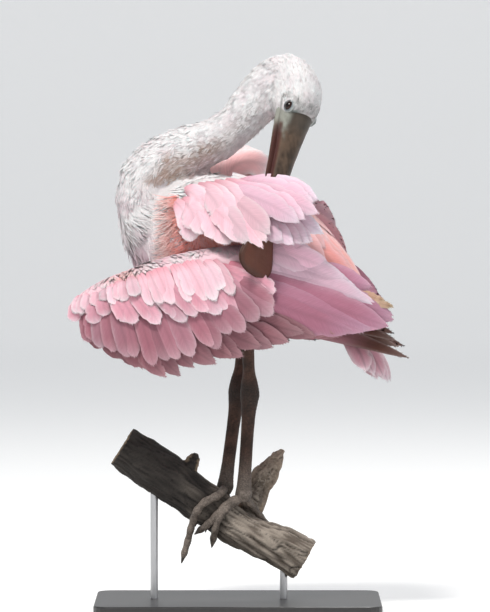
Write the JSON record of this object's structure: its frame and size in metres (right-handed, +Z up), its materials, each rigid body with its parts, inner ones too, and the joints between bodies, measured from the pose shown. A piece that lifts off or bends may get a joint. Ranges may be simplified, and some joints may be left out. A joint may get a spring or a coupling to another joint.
{
  "type": "roseate spoonbill",
  "caption": "Life-size roseate spoonbill preening its back with one wing drooped, standing on a cut branch held by a plain display stand.",
  "frame": {"origin": "middle of the underside of the stand's base", "axes": "+Z up, -X towards the way the bird's body faces, -Y out of its left side, which is the side the picture shows"},
  "size_m": [0.3566, 0.2127, 0.5838],
  "materials": {
    "white_plumage": "soft white feathers with a pale lilac and pink cast",
    "pink_plumage": "pink wing and tail feathers, matt with a faint sheen",
    "pale_pink": "very pale pink shoulder and thigh feathers",
    "salmon_plumage": "salmon rump feathers",
    "bill_horn": "brown-grey horn, dull and slightly ridged",
    "eye": "dark brown, wet gloss",
    "leg_skin": "dark reddish-brown scaled skin",
    "foot_skin": "grey-brown scaled skin with dark claws",
    "dead_wood": "weathered dead bark, charcoal to tan",
    "stand_base": "satin black",
    "stand_rod": "brushed"
  },
  "bodies": {
    "root": {"head": "white_plumage", "eye_left": "eye", "eye_right": "eye", "bill_upper": "bill_horn", "bill_lower": "bill_horn", "neck_upper": "white_plumage", "neck_middle": "white_plumage", "neck_base": "white_plumage", "torso": "white_plumage", "tail": "pink_plumage", "back_feathers": "salmon_plumage", "scapulars_left": "pale_pink", "scapulars_right": "pale_pink", "wing_left": "pink_plumage", "wing_right": "pink_plumage", "thigh_left": "pale_pink", "thigh_right": "pale_pink", "shank_left": "leg_skin", "shank_right": "leg_skin", "tarsus_left": "leg_skin", "tarsus_right": "leg_skin", "foot_left": "foot_skin", "foot_right": "foot_skin", "perch": "dead_wood", "stand_base": "stand_base", "stand_rod_front": "stand_rod", "stand_rod_rear": "stand_rod"}
  },
  "joints": []
}
